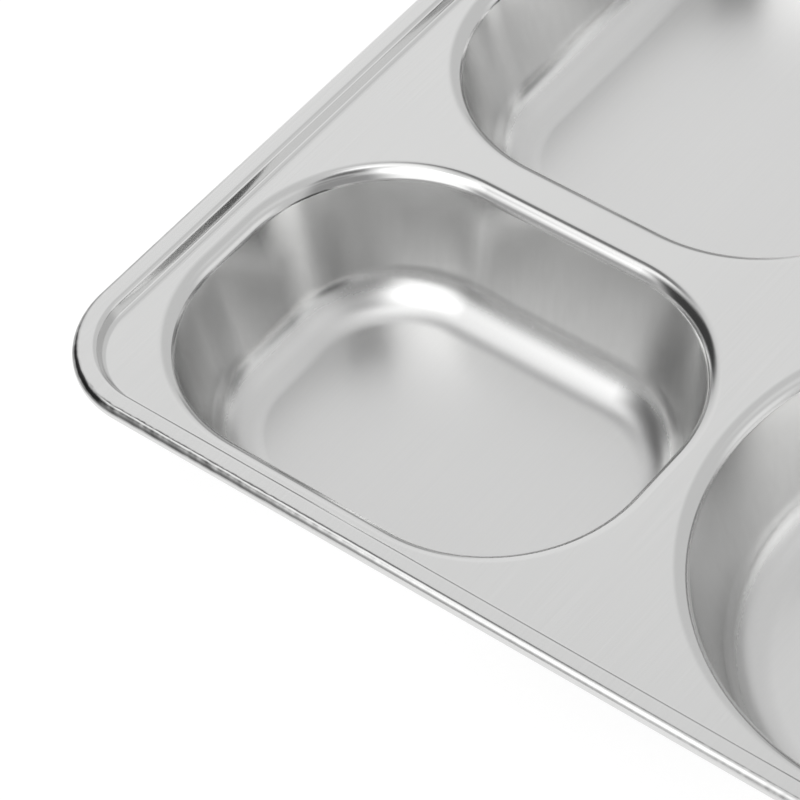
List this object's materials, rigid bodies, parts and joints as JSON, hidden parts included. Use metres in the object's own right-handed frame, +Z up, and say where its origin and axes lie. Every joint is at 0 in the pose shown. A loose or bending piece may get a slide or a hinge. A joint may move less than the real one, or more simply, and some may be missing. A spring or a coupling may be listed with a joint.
{
  "type": "divided compartment plate",
  "caption": "Pressed stainless steel serving tray with a rolled edge, a raised border and round and rectangular wells for separate dishes.",
  "frame": {"origin": "on the table, under the middle of the tray's outline", "axes": "+X along the long side towards the main well, +Y towards the back row of three wells, +Z up"},
  "size_m": [0.277, 0.217, 0.029],
  "materials": {
    "steel": "bright satin, as pressed from polished sheet, with fine scratches"
  },
  "bodies": {
    "root": {"rolled_edge": "steel", "raised_border": "steel", "deck": "steel", "back_left_well": "steel", "back_middle_well": "steel", "back_right_well": "steel", "soup_bowl": "steel", "main_well": "steel"}
  },
  "joints": []
}
